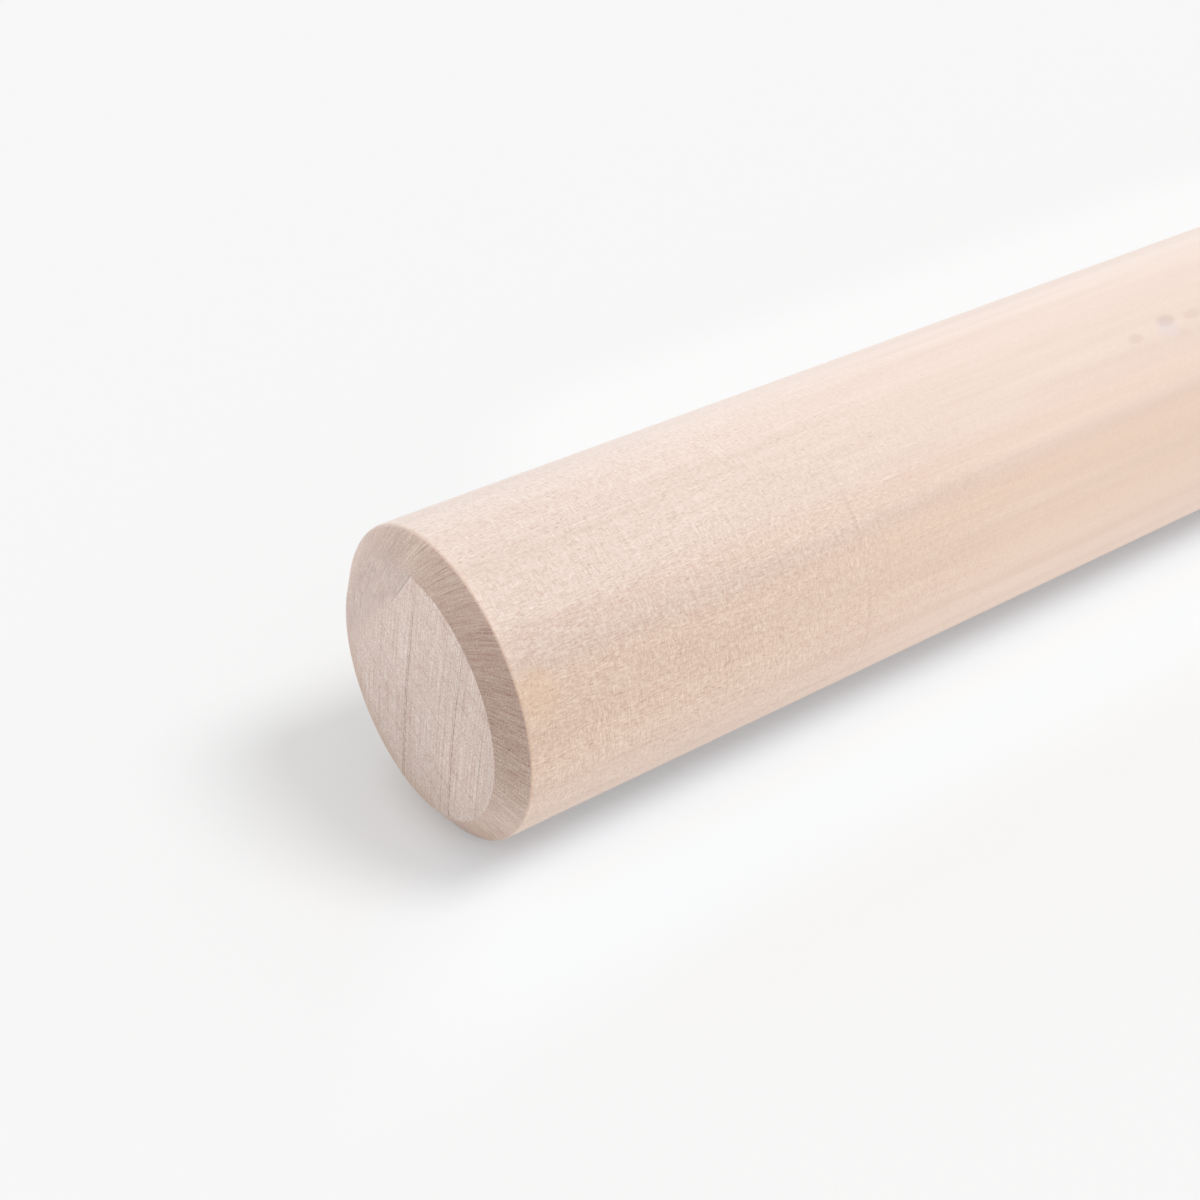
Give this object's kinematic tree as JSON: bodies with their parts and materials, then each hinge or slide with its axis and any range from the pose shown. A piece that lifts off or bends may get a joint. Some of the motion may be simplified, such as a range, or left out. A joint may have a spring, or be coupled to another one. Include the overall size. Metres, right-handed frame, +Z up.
{
  "type": "french rolling pin",
  "caption": "Straight one-piece hardwood rolling pin with no handles: a plain turned cylinder with a wide chamfer at each flat end, rolled under the palms.",
  "frame": {"origin": "middle of the pin, on its turning axis", "axes": "+X along the turning axis, towards the far end in the picture; +Z up as the pin lies on a worktop; +Y completes the right-handed frame"},
  "size_m": [0.5, 0.05, 0.05],
  "materials": {
    "turned_wood": "bare pale close-grained hardwood, turned and fine-sanded, with end grain on the chamfers and end faces"
  },
  "bodies": {
    "root": {"rolling_pin": "turned_wood"}
  },
  "joints": []
}
